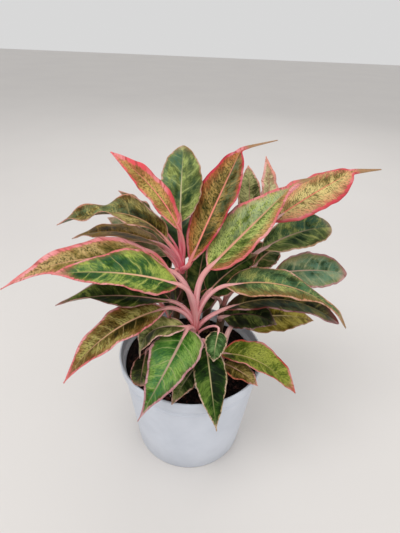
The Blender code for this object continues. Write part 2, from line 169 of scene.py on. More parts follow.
BLADES = [
    # Front shoot: long low leaves all round
    blade("front_1", "front", (13, -6, 221), (81, 8, 298), 49, arch=0, roll=-30, fold=26, widest=0.40,
          tail=(101, 15, 303)),
    blade("front_2", "front", (-14, -20, 211.5), (-112, -55, 240), 46, arch=6.5, roll=23, fold=21,
          waves=1.56, wave=4, phase=4.1, widest=0.38, point=1.15),
    blade("front_3", "front", (-23, -1, 214), (-163, -41, 214), 46, arch=21.5, roll=15, fold=18,
          widest=0.33, point=1.45),
    blade("front_4", "front", (30, -15, 209), (130, -32, 195), 36, arch=15, roll=-16, fold=12,
          widest=0.30, point=1.4, tail=(139, -36, 181)),
    blade("front_5", "front", (32, -8, 178), (138, -22, 175), 36, arch=19, roll=-8, fold=17,
          widest=0.48, point=0.65),
    blade("front_6", "front", (-5, -26, 165), (-44.5, -92, 116), 47, arch=16, sway=-8, widest=0.28,
          point=1.6),
    blade("front_7", "front", (-7, -24, 167), (-49, -38, 138), 30, arch=19, roll=0),
    blade("front_8", "front", (14, -35, 153), (25, -88, 101), 31, arch=11, sway=2, widest=0.33,
          point=1.4),
    blade("front_9", "front", (24, -36, 172), (20, -55, 153), 20, arch=6),
    blade("front_10", "front", (-26, -18, 183), (-111, -72, 138), 38, arch=16, roll=9, fold=15,
          widest=0.36, point=1.3),
    blade("front_11", "front", (-22, -10, 186), (-130, -14, 179), 34, arch=9, crest=0.6, roll=3,
          fold=22, waves=1.25, wave=6, phase=3.5),
    blade("front_12", "front", (11, -38, 142), (-16, -77, 121), 24, arch=4),
    blade("front_13", "front", (-42, -5, 148), (-62, -20, 147), 18, arch=4),
    blade("front_14", "front", (-45, 5, 144), (-97, -8, 148), 20, arch=3),
    blade("front_15", "front", (3, 10, 182), (11, 50, 219), 28, arch=5),
    blade("front_16", "front", (14, 1, 190), (59, 8, 230), 38, arch=4, roll=-36),
    blade("front_17", "front", (-45, -22, 131), (-47, -56, 120), 22, arch=3, fold=4, wave=0.6,
          widest=0.62, point=0.45),
    # Rear shoot: young upright leaves, then the arching ones at the left and back
    blade("rear_1", "rear", (-14, 6, 252), (-72, 9, 320), 23, arch=7, roll=40, widest=0.45),
    blade("rear_2", "rear", (-15, 19, 255), (-14, 54, 316), 39, arch=5, widest=0.48, point=0.67),
    blade("rear_3", "rear", (-4, 6, 220), (37, 40, 316), 45, arch=3, sway=2, roll=-5, fold=20,
          widest=0.53, point=0.6, tail=(71, 50, 325)),
    blade("rear_4", "rear", (-35, 25, 228), (-123, 37, 224), 38, arch=11, roll=-4, widest=0.42,
          point=0.85),
    blade("rear_5", "rear", (-26, 27, 215), (-92, 64, 236), 40, arch=5, roll=16),
    blade("rear_6", "rear", (-27, 11, 240), (-134, 32, 241), 38, arch=21, crest=0.3, roll=8, fold=26,
          waves=2.6, wave=5, phase=1.4),
    blade("rear_7", "rear", (-40, 27, 254), (-76, 51, 271), 17, arch=2),
    blade("rear_8", "rear", (-14, 34, 205), (-30, 122, 208), 42, arch=22),
    blade("rear_9", "rear", (-28, 32, 190), (-88, 92, 188), 40, arch=18),
    blade("rear_10", "rear", (-18, 44, 165), (-22, 122, 128), 38, arch=16),
    blade("rear_11", "rear", (-40, 34, 155), (-92, 74, 120), 34, arch=14),
    blade("rear_12", "rear", (-18, 10, 207), (-24, 5, 155), 31, arch=3),
    # Right shoot
    blade("right_1", "right", (69, 17, 260), (139, 35, 303), 38, arch=2, roll=-25, fold=0, widest=0.57,
          point=0.5, tail=(167, 40, 305)),
    blade("right_2", "right", (64, 18, 230), (136, 48, 242), 37, arch=6, roll=-34, widest=0.55,
          point=0.55),
    blade("right_3", "right", (78, 12, 207), (155, 28, 200), 38, arch=4, roll=-40, widest=0.5,
          point=0.7),
    blade("right_4", "right", (59, 21, 209), (90, 54, 212), 29, arch=6, roll=-30),
    blade("right_5", "right", (31, 1, 161), (84, -5, 158), 38, arch=8, roll=-22),
    blade("right_6", "right", (24, 32, 162), (-13, 30, 157), 37, arch=4, roll=50, widest=0.5,
          point=0.6),
    # Back shoot
    blade("back_1", "back", (53, 56, 234), (50, 76, 293), 24, arch=6, roll=8, widest=0.5),
    blade("back_2", "back", (76, 70, 243), (69, 90, 299), 22, arch=4, widest=0.3),
    blade("back_3", "back", (24, 62, 190), (56, 124, 192), 42, arch=20),
    blade("back_4", "back", (42, 54, 185), (98, 104, 172), 40, arch=18),
    blade("back_5", "back", (34, 64, 150), (62, 116, 122), 36, arch=12),
    # Small side shoot, low at the right
    blade("side_1", "side", (31, -22, 133), (97, -62, 124), 38, arch=12, sway=-2, roll=-5, fold=30),
    blade("side_2", "side", (30, -36, 134), (61, -63, 133), 26, arch=4),
    blade("side_3", "side", (46, 0, 155), (129, 20, 145), 41, arch=8, roll=-20),
]


# ---------------------------------------------------------------- colours
DEEP = (0.009, 0.021, 0.003)
FOREST = (0.03, 0.064, 0.012)
BROWN = (0.05, 0.026, 0.007)
TAN = (0.5, 0.29, 0.17)
TAUPE = (0.42, 0.3, 0.23)
SALMON = (0.6, 0.165, 0.17)
CRIMSON = (0.48, 0.045, 0.075)
MAUVE = (0.42, 0.2, 0.22)
ORANGE = (0.42, 0.17, 0.06)
MAROON = (0.14, 0.032, 0.03)


# A blade's colouring. deep, body and bright are its greens from the dark ground to the
# variegation, cover is the share that is variegated and mottle how much of that is
# broken up by dark dashes. vein is how clear the side veins are. haze is a painted sheen,
# the reflection of the bright room painted in as colour, that clouds each half by the share
# hazed. rib_width is half the midrib's width and margin_width the margin's, in mm. blush is
# the flush inside the margin: reach is how many mm it comes in and flush how strong it is.
# tip is how strongly the margin's colour fills the blade's point. Pairs are for the left and
# the right half, seen from base to tip. Each row changes MATURE where it differs.
COLOURS = ("deep", "body", "bright", "painted_sheen", "rib", "margin", "blush")
NUMBERS = ("cover", "mottle", "vein", "rib_width", "tip")
PAIRS = ("sheen_share", "margin_width", "reach", "flush")
MEASURES = ("seed", "tail", "length")
MATURE = dict(
    deep=DEEP, body=FOREST, bright=(0.13, 0.16, 0.04), cover=0.3, mottle=0.3, vein=0.3,
    painted_sheen=(0, 0, 0), sheen_share=(0.0, 0.0), rib=(0.46, 0.28, 0.2), rib_width=0.8,
    margin=(0.44, 0.18, 0.13), margin_width=(1.0, 1.0), blush=BROWN, reach=(5, 5),
    flush=(0.3, 0.3), tip=0.5)
# Painted shade: leaves darkened all over to stand for the shadow in the middle of the plant
SHADED = dict(deep=(0.006, 0.009, 0.002), body=(0.022, 0.03, 0.007),
              rib=(0.16, 0.08, 0.07), margin=(0.1, 0.04, 0.035))
# The leaves whose colouring differs from MATURE
FINISHES = {
    "front_1": dict(
        deep=(0.028, 0.06, 0.01), body=(0.2, 0.25, 0.06), bright=(0.426, 0.487, 0.16), cover=0.5,
        mottle=0.85, vein=0.4, painted_sheen=(0.36, 0.42, 0.27), sheen_share=(0.85, 0.1), rib=(0.62, 0.34, 0.24),
        rib_width=1.5, margin=SALMON, margin_width=(2.6, 2.8), blush=(0.5, 0.15, 0.09), reach=(9, 14),
        flush=(0.5, 0.9), tip=0.8),
    "front_2": dict(
        deep=(0.01, 0.034, 0.008), body=(0.06, 0.135, 0.028), bright=(0.351, 0.418, 0.096), cover=0.42,
        mottle=0.4, vein=0.6, painted_sheen=(0.045, 0.12, 0.065), sheen_share=(0.3, 0.75), rib=(0.66, 0.42, 0.28),
        rib_width=1.2, margin=SALMON, margin_width=(1.7, 1.7), blush=ORANGE, reach=(6, 7),
        flush=(0.5, 0.5), tip=0.9),
    "front_3": dict(
        deep=(0.045, 0.045, 0.008), body=(0.25, 0.18, 0.05), bright=(0.441, 0.324, 0.143), cover=0.5,
        mottle=0.85, rib=(0.66, 0.36, 0.24), margin=SALMON, margin_width=(2.4, 4.6),
        blush=(0.55, 0.19, 0.13), reach=(8, 10), flush=(0.8, 0.8), tip=1.0),
    "front_4": dict(
        deep=(0.018, 0.036, 0.01), body=(0.125, 0.185, 0.07), bright=(0.345, 0.358, 0.121), cover=0.35,
        mottle=0.6, vein=0.4, painted_sheen=(0.075, 0.165, 0.085), sheen_share=(0.95, 0.1), rib=TAN,
        margin=(0.48, 0.25, 0.15), margin_width=(1.0, 1.4), blush=(0.22, 0.11, 0.03), reach=(5, 13),
        flush=(0.4, 0.95), tip=0.6),
    "front_5": dict(
        deep=(0.004, 0.008, 0.001), body=(0.045, 0.048, 0.017), bright=(0.2, 0.17, 0.05), cover=0.28,
        painted_sheen=(0.06, 0.125, 0.07), sheen_share=(0.0, 0.7), rib=(0.4, 0.3, 0.16), margin=MAROON,
        margin_width=(1.2, 1.6), blush=(0.09, 0.04, 0.015), reach=(12, 6), flush=(0.7, 0.5), tip=1.0),
    "front_6": dict(
        deep=(0.013, 0.046, 0.005), body=(0.057, 0.151, 0.018), bright=(0.206, 0.32, 0.078), cover=0.4,
        mottle=0.4, vein=0.9, painted_sheen=(0.055, 0.165, 0.075), sheen_share=(0.7, 0.7), rib=TAUPE, rib_width=1.4,
        margin=MAUVE, margin_width=(1.8, 2.2), blush=(0.13, 0.07, 0.03), reach=(7, 6), flush=(0.5, 0.8),
        tip=0.8),
    "front_7": dict(
        deep=(0.03, 0.034, 0.008), body=(0.153, 0.172, 0.054), bright=(0.443, 0.428, 0.176), vein=0.5,
        rib=TAUPE, margin=(0.56, 0.36, 0.28), margin_width=(1.5, 1.5), blush=(0.14, 0.07, 0.03),
        flush=(0.4, 0.4)),
    "front_8": dict(
        deep=(0.004, 0.012, 0.001), body=(0.024, 0.064, 0.007), bright=(0.126, 0.197, 0.036),
        cover=0.22, rib=(0.42, 0.36, 0.2), margin=(0.46, 0.36, 0.2), flush=(0.1, 0.1)),
    "front_9": dict(
        deep=(0.011, 0.027, 0.004), body=(0.045, 0.095, 0.027), bright=(0.134, 0.22, 0.08),
        rib=(0.4, 0.34, 0.2), rib_width=0.6, margin=(0.5, 0.38, 0.24), flush=(0.1, 0.1)),
    "front_10": dict(
        deep=(0.024, 0.022, 0.003), body=(0.145, 0.092, 0.02), bright=(0.351, 0.315, 0.104), cover=0.4,
        mottle=0.7, vein=0.6, rib=(0.56, 0.34, 0.22), rib_width=1.0, margin=SALMON,
        margin_width=(1.6, 2.2), blush=(0.3, 0.1, 0.045), reach=(8, 9), flush=(0.7, 0.7), tip=0.8),
    "front_11": dict(
        deep=(0.007, 0.017, 0.002), body=(0.051, 0.075, 0.016), bright=(0.213, 0.254, 0.055),
        rib=(0.6, 0.36, 0.3), rib_width=1.1, margin=(0.3, 0.12, 0.1), margin_width=(1.0, 1.2), tip=1.0),
    "front_12": dict(
        body=(0.072, 0.112, 0.03), bright=(0.28, 0.299, 0.112), cover=0.4, rib=(0.42, 0.36, 0.24),
        margin=(0.5, 0.3, 0.22)),
    "front_17": dict(deep=(0.01, 0.013, 0.004), body=(0.035, 0.042, 0.015)),
    "rear_1": dict(
        deep=(0.065, 0.07, 0.01), body=(0.34, 0.19, 0.065), bright=(0.515, 0.394, 0.13), cover=0.5,
        mottle=0.8, rib=(0.76, 0.24, 0.22), margin=(0.66, 0.1, 0.12), margin_width=(1.4, 4.0),
        blush=(0.56, 0.17, 0.1), reach=(6, 12), flush=(0.8, 1.0), tip=1.0),
    "rear_2": dict(
        deep=(0.02, 0.046, 0.014), body=(0.145, 0.175, 0.052), bright=(0.332, 0.383, 0.126), cover=0.4,
        mottle=0.6, vein=0.6, painted_sheen=(0.08, 0.165, 0.11), sheen_share=(0.85, 0.15), rib=(0.5, 0.44, 0.28),
        margin=(0.4, 0.24, 0.13), blush=(0.2, 0.13, 0.05), reach=(4, 4), flush=(0.5, 0.5), tip=0.4),
    "rear_3": dict(
        deep=(0.014, 0.026, 0.004), body=(0.15, 0.105, 0.026), bright=(0.36, 0.25, 0.08), cover=0.38,
        mottle=0.95, painted_sheen=(0.2, 0.24, 0.13), sheen_share=(0.0, 0.7), rib=(0.7, 0.28, 0.22), rib_width=1.3,
        margin=CRIMSON, margin_width=(3.0, 2.0), blush=(0.46, 0.12, 0.05), reach=(14, 8),
        flush=(1.0, 0.7), tip=1.0),
    "rear_4": dict(
        deep=(0.01, 0.008, 0.001), body=(0.11, 0.068, 0.008), bright=(0.31, 0.2, 0.045), cover=0.5,
        mottle=0.5, vein=0.7, rib=TAN, margin=(0.4, 0.2, 0.11), margin_width=(1.0, 1.2),
        blush=(0.15, 0.055, 0.018), reach=(9, 9), flush=(0.8, 0.8), tip=0.8),
    "rear_5": dict(
        deep=(0.02, 0.024, 0.009), body=(0.132, 0.142, 0.056), bright=(0.3, 0.26, 0.14), cover=0.45,
        vein=0.4, painted_sheen=(0.1, 0.15, 0.09), sheen_share=(0.6, 0.6), rib=(0.62, 0.36, 0.26),
        margin=(0.4, 0.22, 0.16)),
    "rear_6": dict(
        deep=(0.018, 0.014, 0.001), body=(0.15, 0.105, 0.018), bright=(0.403, 0.333, 0.117), cover=0.4,
        mottle=0.85, vein=0.5, painted_sheen=(0.13, 0.2, 0.1), sheen_share=(0.2, 0.8), rib=TAN,
        margin=(0.46, 0.22, 0.14), margin_width=(1.2, 1.2), blush=(0.18, 0.08, 0.03), reach=(8, 8),
        flush=(0.6, 0.6), tip=0.9),
    "rear_7": dict(deep=(0.04, 0.04, 0.012), body=(0.11, 0.127, 0.051), bright=(0.314, 0.278, 0.13)),
    # rear_12 is darkened all over too, as painted shade for the shadowed middle of the plant
    "rear_12": dict(
        deep=(0.008, 0.006, 0.002), body=(0.045, 0.03, 0.01), rib=(0.2, 0.08, 0.07),
        margin=(0.14, 0.04, 0.035)),
    "right_1": dict(
        deep=(0.04, 0.055, 0.012), body=(0.27, 0.185, 0.065), bright=(0.56, 0.46, 0.2), cover=0.6,
        mottle=0.7, rib=(0.6, 0.2, 0.14), margin=(0.52, 0.07, 0.09), margin_width=(2.2, 3.2),
        blush=(0.56, 0.17, 0.13), reach=(12, 15), flush=(0.8, 0.9), tip=1.0),
    "right_2": dict(
        deep=(0.012, 0.03, 0.01), body=(0.12, 0.165, 0.055), bright=(0.38, 0.4, 0.13), cover=0.35,
        vein=0.5, painted_sheen=(0.035, 0.11, 0.08), sheen_share=(0.9, 0.1), rib=TAUPE, margin=(0.44, 0.28, 0.17),
        margin_width=(0.9, 1.2), blush=(0.16, 0.12, 0.03), reach=(4, 9), flush=(0.3, 0.5)),
    "right_3": dict(
        deep=(0.022, 0.052, 0.022), body=(0.155, 0.205, 0.105), bright=(0.335, 0.332, 0.182),
        cover=0.35, vein=0.5, painted_sheen=(0.13, 0.24, 0.165), sheen_share=(0.8, 0.8), rib=TAUPE,
        margin=(0.32, 0.14, 0.14), margin_width=(1.8, 1.8), blush=(0.26, 0.17, 0.05), reach=(9, 6),
        flush=(0.7, 0.5), tip=0.9),
    "right_4": dict(
        deep=(0.014, 0.019, 0.004), body=(0.066, 0.096, 0.021), bright=(0.224, 0.197, 0.08),
        margin=(0.56, 0.26, 0.2), margin_width=(1.4, 1.4)),
    "right_5": SHADED,
    "right_6": SHADED,
    "back_1": dict(
        deep=(0.018, 0.016, 0.006), body=(0.15, 0.159, 0.06), bright=(0.403, 0.394, 0.18), cover=0.4,
        mottle=0.5, margin=(0.56, 0.28, 0.2), margin_width=(1.4, 1.4)),
    "back_2": dict(
        deep=(0.075, 0.055, 0.025), body=(0.357, 0.252, 0.145), bright=(0.582, 0.534, 0.3), cover=0.5,
        mottle=0.5, margin=(0.66, 0.3, 0.24), margin_width=(2.6, 2.6), blush=(0.52, 0.26, 0.18),
        reach=(6, 6), flush=(0.8, 0.8), tip=0.9),
    "side_1": dict(
        deep=(0.014, 0.032, 0.002), body=(0.105, 0.141, 0.013), bright=(0.295, 0.317, 0.06), cover=0.45,
        mottle=0.6, vein=0.4, rib=(0.44, 0.36, 0.16), margin=(0.46, 0.07, 0.05),
        margin_width=(1.7, 1.4), blush=(0.2, 0.12, 0.03), flush=(0.5, 0.5), tip=0.9),
    "side_2": dict(
        deep=(0.008, 0.009, 0.001), body=(0.132, 0.096, 0.021), bright=(0.302, 0.232, 0.08), cover=0.4,
        mottle=0.6, margin=(0.42, 0.13, 0.08), margin_width=(1.2, 1.2)),
    "side_3": dict(
        deep=(0.012, 0.016, 0.001), body=(0.15, 0.115, 0.01), bright=(0.397, 0.333, 0.073), cover=0.4,
        vein=0.4, rib=(0.56, 0.44, 0.24), rib_width=1.0, margin=(0.36, 0.2, 0.1),
        blush=(0.16, 0.09, 0.02), flush=(0.5, 0.5)),
}


# ---------------------------------------------------------------- blade shape
def unit(v):
    v = np.asarray(v, float)
    return v / np.linalg.norm(v)


def units(rows):
    return rows / np.linalg.norm(rows, axis=1)[:, None]


def strides(line):
    """The distance from each point of a line to the next."""
    return np.linalg.norm(np.diff(line, axis=0), axis=1)


def arc(start, control, end, count):
    """Points along a quadratic arc that starts towards control."""
    t = np.linspace(0.0, 1.0, count)[:, None]
    start, control, end = (np.asarray(p, float) for p in (start, control, end))
    return (1 - t) ** 2 * start + 2 * t * (1 - t) * control + t ** 2 * end


def midrib(leaf, count):
    """Evenly spaced points from a blade's base to its tip, the tail's share and the length."""
    base = np.array(leaf["base"], float)
    tip = np.array(leaf["tip"], float)
    chord = unit(tip - base)
    right = unit(np.cross(chord, (0, 0, 1)))
    above = np.cross(right, chord)
    control = base + (tip - base) * leaf["crest"]
    control = control + 2 * leaf["arch"] * above + 2 * leaf["sway"] * right
    line = arc(base, control, tip, ARC_POINTS)
    tail_share = 0.0
    if leaf["tail"]:
        end = np.array(leaf["tail"], float)
        onward = unit(tip - control) * np.linalg.norm(end - tip) * TAIL_LEAD
        tail = arc(tip, tip + onward, end, ARC_POINTS // 3)
        body, length = strides(line).sum(), strides(tail).sum()
        tail_share = length / (body + length)
        line = np.vstack([line, tail[1:]])
    run = np.concatenate([[0], np.cumsum(strides(line))])
    share = np.linspace(0, 1, count + 1)
    points = [np.interp(share * run[-1], run, line[:, axis]) for axis in range(3)]
    return share, np.stack(points, axis=1), tail_share, run[-1]


def half_width(leaf, share, tail_share):
    """Half the blade's width along its midrib: a round base and a long point."""
    body = np.clip(share / (1 - tail_share), 0, 1)
    fall = leaf["point"]
    rise = fall * leaf["widest"] / (1 - leaf["widest"])
    outline = (body / leaf["widest"]) ** rise * ((1 - body) / (1 - leaf["widest"])) ** fall
    slimmest = BLADE_BASE_WIDTH + (BLADE_TIP_WIDTH - BLADE_BASE_WIDTH) * share
    if leaf["tail"]:
        onward = np.clip((1 - share) / tail_share, 0, 1)
        slimmest = np.maximum(slimmest, BLADE_TIP_WIDTH + (TAIL_WIDTH - BLADE_TIP_WIDTH) * onward)
    return np.maximum(leaf["width"] * outline, slimmest) / 2


def fine_blade(leaf, along, across, seed):
    """The blade's upper surface, its leaf coordinates in mm and its thickness.

    Leaf coordinates are the distance from the midrib (left is negative), the distance
    along the midrib from the base, and the distance in from the margin.
    """
    share, line, tail_share, length = midrib(leaf, along)
    run = share * length
    draw = random.Random(seed)
    half = half_width(leaf, share, tail_share)
    forward = units(np.gradient(line, axis=0))
    right = units(np.cross(forward, (0, 0, 1)))
    up = np.cross(right, forward)
    turn = math.radians(leaf["roll"])
    side = math.cos(turn) * right + math.sin(turn) * up
    face = math.cos(turn) * up - math.sin(turn) * right
    fold = math.radians(leaf["fold"])
    calm = np.minimum(1, 4 * share * (1 - share)) * np.minimum(1, half / CALM_HALF)
    fringe = {-1: draw.uniform(0, 6), 1: draw.uniform(0, 6)}
    points, places, depths = [], [], []
    for step in np.linspace(-1, 1, across + 1):
        place = math.copysign(abs(step) ** CROWDING, step)
        hand = 1 if place > 0 else -1
        distance = half * abs(place)
        outline = half * (1 + DIP_DEPTH * np.sin(share * DIPS + fringe[hand])
                          + NICK_DEPTH * np.sin(share * NICKS + seed))
        out = outline * place * math.cos(fold)
        lift = half * (abs(place) * math.sin(fold) - leaf["cup"] * place ** 2)
        start = leaf["phase"] - (0 if place > 0 else MARGIN_LAG)
        swell = np.sin(2 * math.pi * leaf["waves"] * share + start)
        lift = lift + leaf["wave"] * swell * calm * place ** 2
        ruffle = np.sin(run / RUFFLE_LENGTHS[0] + fringe[hand])
        ruffle = ruffle * np.sin(run / RUFFLE_LENGTHS[1] + 2 * fringe[-hand])
        lift = lift + RUFFLE_HEIGHT * ruffle * calm * abs(place) ** 3
        groove = GROOVE_DEPTH * np.exp(-(distance / GROOVE_WIDTH) ** 2) * (1 - share) ** 0.5
        vein_foot = run - VEIN_LEAN * distance - VEIN_CURL * distance ** 2
        vein = np.cos(2 * math.pi * vein_foot / VEIN_SPACING + 1.5 * hand)
        near = np.clip(distance / QUILT_START, 0, 1)
        quilt = QUILT_HEIGHT * vein * calm * near * (1 - abs(place) ** 2)
        lift = lift - groove + quilt
        points.append(line + side * out[:, None] + face * lift[:, None])
        places.append(np.stack([half * place, run, half * (1 - abs(place))], axis=1))
        keel = RIB_DEPTH * np.exp(-(distance / RIB_WIDTH) ** 2) * (1 - share) ** 0.8
        keel = keel * (half / half.max()) ** 0.3
        depths.append(BLADE_EDGE + (BLADE_BODY - BLADE_EDGE) * (1 - abs(place) ** 3) + keel)
    return np.stack(points, 1) * MM, np.stack(places, 1), np.stack(depths, 1)


# ---------------------------------------------------------------- working on a thing
def pick(*things):
    """Selects these things and no others, with the first one active."""
    bpy.ops.object.select_all(action="DESELECT")
    for thing in things:
        thing.select_set(True)
    bpy.context.view_layer.objects.active = things[0]


def edit(thing):
    pick(thing)
    bpy.ops.object.mode_set(mode="EDIT")


def apply_all(thing):
    """Applies the thing's modifiers, as the object menu would."""
    pick(thing)
    for modifier in list(thing.modifiers):
        bpy.ops.object.modifier_apply(modifier=modifier.name)


def cover(thing, *finishes):
    """Gives the thing these finishes and no others."""
    thing.data.materials.clear()
    for finish in finishes:
        thing.data.materials.append(finish)


def deliver(thing, name, node):
    """Names a finished piece and hands it to the frame."""
    thing.name = name
    thing.data.name = name
    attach(thing, "root")
    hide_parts(node)


def new_grid(across, along):
    """A flat grid, and where its points are, from -1 to 1 across and along it."""
    bpy.ops.object.select_all(action="DESELECT")
    bpy.ops.mesh.primitive_grid_add(x_subdivisions=across, y_subdivisions=along, size=2)
    thing = bpy.context.object
    flat = np.empty(len(thing.data.vertices) * 3)
    thing.data.vertices.foreach_get("co", flat)
    return thing, flat[0::3], flat[1::3]


def lay_grid(thing, points, name, places):
    """Moves the grid's points to these ones, and keeps a place of its own with each."""
    thing.data.vertices.foreach_set("co", points.ravel())
    kept = thing.data.attributes.new(name, "FLOAT_VECTOR", "POINT")
    kept.data.foreach_set("vector", places.ravel())


def draw_out(rise, grow, height):
    """Extrudes what is selected upwards, and resizes it about the axis at its new height."""
    bpy.ops.mesh.extrude_region_move(TRANSFORM_OT_translate={"value": (0, 0, rise * MM)})
    bpy.ops.transform.resize(value=(grow, grow, 1), center_override=(0, 0, height * MM))


def make_blade(leaf, seed, finishes):
    """A fine blade: a grid laid on its upper surface and thickened downwards."""
    along, across = LARGE_GRID if leaf["width"] > SMALL_WIDTH else SMALL_GRID
    points, places, depths = fine_blade(leaf, along, across, seed)
    thing, u, v = new_grid(across, along)
    rib = np.rint((u + 1) / 2 * across).astype(int)
    step = np.rint((v + 1) / 2 * along).astype(int)
    lay_grid(thing, points[step, rib], "blade", places[step, rib])
    deepest = depths.max()
    group = thing.vertex_groups.new(name="thickness")
    for index, depth in enumerate(depths[step, rib]):
        group.add([index], depth / deepest, "REPLACE")
    cover(thing, *finishes)
    bpy.ops.object.shade_smooth()
    wall = thing.modifiers.new("Thickness", "SOLIDIFY")
    wall.thickness = deepest * MM
    wall.offset = -1
    wall.vertex_group = "thickness"
    wall.material_offset = 1
    wall.material_offset_rim = 0
    apply_all(thing)
    return thing


# ---------------------------------------------------------------- stems
def cane_points(shoot):
    """The ends of the cane's straight axis: its foot in the soil and its crown."""
    foot = np.array((*shoot["foot"], SOIL_LEVEL), float)
    crown = np.array(shoot["crown"], float)
    down = unit(foot - crown)
    return foot + down * CANE_DEPTH, crown


def petiole_points(leaf, count):
    """A petiole's bend, from inside its cane to just short of its blade."""
    bottom, crown = cane_points(SHOOTS[leaf["shoot"]])
    line = midrib(leaf, ARC_POINTS)[1]
    base = line[0]
    onward = unit(line[1] - line[0])
    reach = math.hypot(base[0] - crown[0], base[1] - crown[1])
    height = min(crown[2] - 2, base[2] - PETIOLE_LEAN * reach - 8)
    height = max(height, SOIL_LEVEL + LOWEST_PETIOLE)
    up = unit(crown - bottom)
    start = bottom + up * (height - bottom[2]) / up[2]
    end = base - onward * PETIOLE_GAP
    span = np.linalg.norm(end - start)
    handles = (start, start + up * span * LOWER_HANDLE, end - onward * span * UPPER_HANDLE, end)
    t = np.linspace(0, 1, count)[:, None]
    weights = ((1 - t) ** 3, 3 * t * (1 - t) ** 2, 3 * t ** 2 * (1 - t), t ** 3)
    return sum(weight * handle for weight, handle in zip(weights, handles))


def stem_piece(path, radii, grooves, away, seed):
    """A round stem through path, with a channel along the side towards the plant's middle.

    away is the direction in which the stem leaves its cane.
    """
    last = len(path) - 1
    thing, turn, v = new_grid(STEM_SIDES, last)
    forward = units(np.gradient(path, axis=0))
    across = np.cross(away, (0, 0, 1))
    side = units(across - forward * (forward @ across)[:, None])
    inner = np.cross(side, forward)
    step = np.rint((v + 1) / 2 * last).astype(int)
    angle = turn * math.pi
    channel = 1 - grooves[step] * np.exp(-((abs(angle) - math.pi) / CHANNEL_WIDTH) ** 2)
    reach = radii[step] * channel
    spot = path[step] - inner[step] * (np.cos(angle) * reach)[:, None] \
        + side[step] * (np.sin(angle) * reach)[:, None]
    places = np.stack([step / last, turn, np.full(len(turn), seed)], axis=1)
    lay_grid(thing, spot * MM, "stem", places)
    bpy.ops.object.mode_set(mode="EDIT")
    bpy.ops.mesh.select_all(action="SELECT")
    bpy.ops.mesh.remove_doubles(threshold=0.00001)
    bpy.ops.mesh.select_all(action="DESELECT")
    bpy.ops.mesh.select_non_manifold()
    bpy.ops.mesh.edge_face_add()
    bpy.ops.mesh.select_all(action="SELECT")
    bpy.ops.mesh.normals_make_consistent(inside=False)
    bpy.ops.object.mode_set(mode="OBJECT")
    bpy.ops.object.shade_smooth()
    return thing


def make_petiole(leaf, seed):
    """A petiole that runs on under its blade's base and thins out there."""
    under_blade = midrib(leaf, ARC_POINTS)[1][4:9] - np.array((0, 0, 1.2))
    path = np.vstack([petiole_points(leaf, PETIOLE_STEPS), under_blade])
    share = np.linspace(0, 1, len(path))
    radii = leaf["width"] * (PETIOLE_SHARE + (PETIOLE_END_SHARE - PETIOLE_SHARE) * share ** 0.8)
    radii[-4:] *= (0.85, 0.7, 0.5, 0.3)
    return stem_piece(path, radii, 0.5 - 0.3 * share, path[-6] - path[0], seed)


def make_cane(shoot, seed):
    """A straight cane with the scars of its old leaves, closed over at its crown."""
    bottom, crown = cane_points(shoot)
    t = np.linspace(0, 1, CANE_STEPS)
    path = bottom + (crown - bottom) * t[:, None]
    height = t * np.linalg.norm(crown - bottom)
    radii = CANE_RADIUS + (CANE_TOP_RADIUS - CANE_RADIUS) * t
    scar = (height % SCAR_SPACING - SCAR_SPACING / 2) / SCAR_WIDTH
    radii = radii - SCAR_DEPTH * np.exp(-scar ** 2)
    radii[-3:] *= (0.9, 0.75, 0.45)
    return stem_piece(path, radii, np.zeros(CANE_STEPS), np.array((0, -1.0, 0)), seed)


def make_stems(name, shoot, finish):
    """A cane and its petioles, joined as the one grown piece that they are."""
    pieces = [make_cane(shoot, -1)]
    for seed, leaf in enumerate(BLADES):
        if leaf["shoot"] == name:
            pieces.append(make_petiole(leaf, seed))
    pick(*pieces)
    bpy.ops.object.join()
    cover(pieces[0], finish)
    deliver(pieces[0], f"stems_{name}", f"shoot_{name}")


# ---------------------------------------------------------------- pot
def wall_radius(height):
    return POT_BASE_RADIUS + WALL_SLOPE * height


